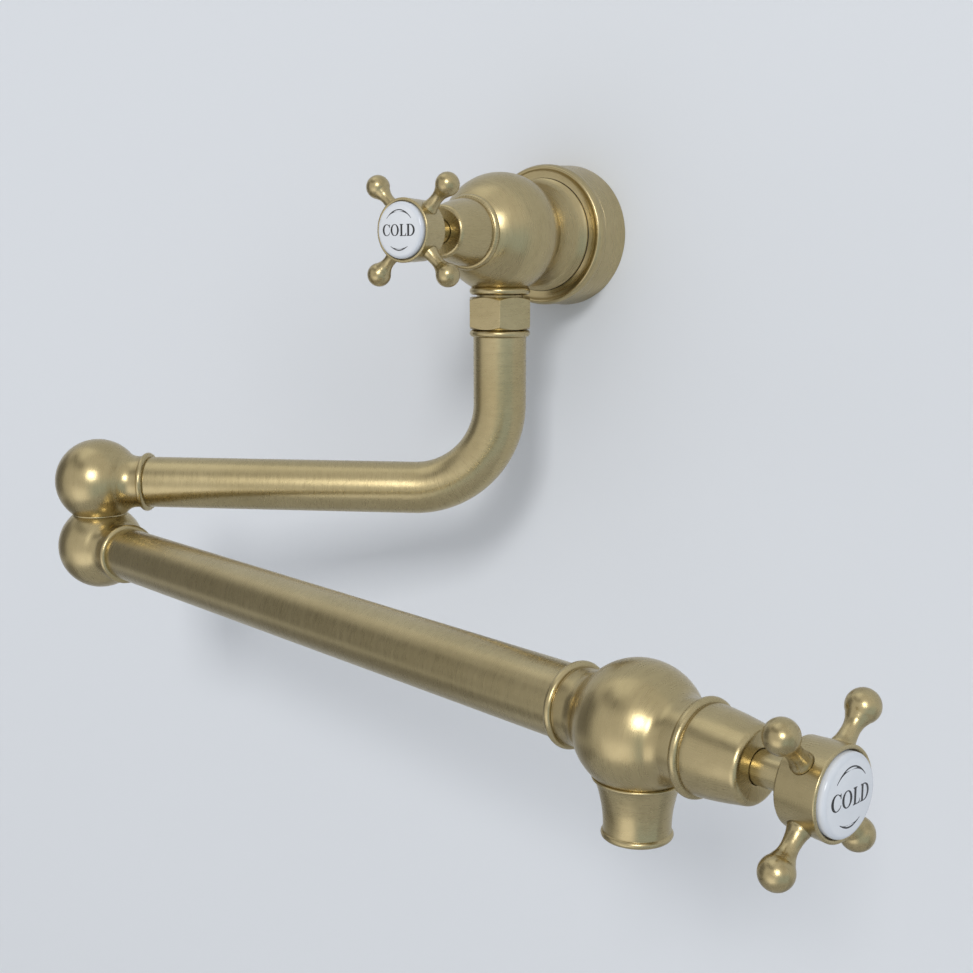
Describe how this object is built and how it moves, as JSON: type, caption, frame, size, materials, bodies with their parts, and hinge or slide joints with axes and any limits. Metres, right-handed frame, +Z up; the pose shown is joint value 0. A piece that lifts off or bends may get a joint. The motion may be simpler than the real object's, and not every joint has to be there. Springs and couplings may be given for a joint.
{
  "type": "wall mounted pot filler",
  "caption": "Wall mounted pot filler with a swivelling elbow pipe, a long jointed arm, ball shaped valves with cross handles and white index buttons, and a short flared spout",
  "frame": {"origin": "centre of the cover flange's back face, on the wall, in line with the upper valve", "axes": "X right along the wall, Y into the wall, Z up"},
  "size_m": [0.3963, 0.2591, 0.1975],
  "materials": {
    "satin_brass": "satin, finely brushed, lightly aged",
    "plain_brass": "machined, unlacquered",
    "steel": "machined stainless steel",
    "rubber": "black nitrile rubber",
    "white_ceramic": "white glazed ceramic, opaque",
    "alumina": "lapped alumina ceramic, opaque",
    "plastic": "moulded acetal"
  },
  "bodies": {
    "wall_mount": {"wall_flange": "satin_brass", "flange_ring": "rubber", "mounting_plate": "steel", "inlet_tail": "plain_brass", "tail_ring": "rubber", "upper_valve_body": "satin_brass", "upper_bonnet": "satin_brass", "upper_cartridge": "plain_brass", "upper_cartridge_seal": "rubber", "upper_fixed_disc": "alumina", "union_nut": "satin_brass", "union_washer": "plastic"},
    "upper_arm": {"upper_arm_tube": "satin_brass", "drop_spigot": "satin_brass", "drop_ring_high": "rubber", "drop_ring_low": "rubber", "upper_swivel_ball": "satin_brass", "swivel_washer": "satin_brass"},
    "lower_arm": {"lower_swivel_ball": "satin_brass", "pivot": "plain_brass", "pivot_ring_high": "rubber", "pivot_ring_low": "rubber", "pivot_clip": "steel", "lower_arm_tube": "satin_brass", "lower_valve_body": "satin_brass", "lower_bonnet": "satin_brass", "lower_cartridge": "plain_brass", "lower_cartridge_seal": "rubber", "lower_fixed_disc": "alumina", "spout_nozzle": "satin_brass", "aerator_body": "plastic", "aerator_screen": "steel", "aerator_washer": "rubber"},
    "upper_handle": {"upper_spindle": "satin_brass", "upper_moving_disc": "alumina", "upper_spindle_ring": "rubber", "upper_hub": "satin_brass", "upper_lever_1": "satin_brass", "upper_lever_2": "satin_brass", "upper_lever_3": "satin_brass", "upper_lever_4": "satin_brass", "upper_hub_screw": "steel", "upper_button_carrier": "plain_brass", "upper_index_button": "white_ceramic"},
    "lower_handle": {"lower_spindle": "satin_brass", "lower_moving_disc": "alumina", "lower_spindle_ring": "rubber", "lower_hub": "satin_brass", "lower_lever_1": "satin_brass", "lower_lever_2": "satin_brass", "lower_lever_3": "satin_brass", "lower_lever_4": "satin_brass", "lower_hub_screw": "steel", "lower_button_carrier": "plain_brass", "lower_index_button": "white_ceramic"}
  },
  "joints": [
    {"name": "wall_swivel", "type": "hinge", "parent": "wall_mount", "child": "upper_arm", "pos_m": [0, -0.051, -0.03], "axis": [0, 0, 1], "range_deg": [-27.8, 152.2]},
    {"name": "elbow_swivel", "type": "hinge", "parent": "upper_arm", "child": "lower_arm", "pos_m": [-0.15763, -0.13411, -0.12133], "axis": [0, 0, 1], "continuous": true},
    {"name": "upper_handle_turn", "type": "hinge", "parent": "wall_mount", "child": "upper_handle", "pos_m": [0, -0.1, 0], "axis": [0, -1, 0], "range_deg": [0, 90]},
    {"name": "lower_handle_turn", "type": "hinge", "parent": "lower_arm", "child": "lower_handle", "pos_m": [0.2024, -0.21855, -0.13585], "axis": [0.9736, -0.2284, 0], "range_deg": [0, 90]}
  ]
}
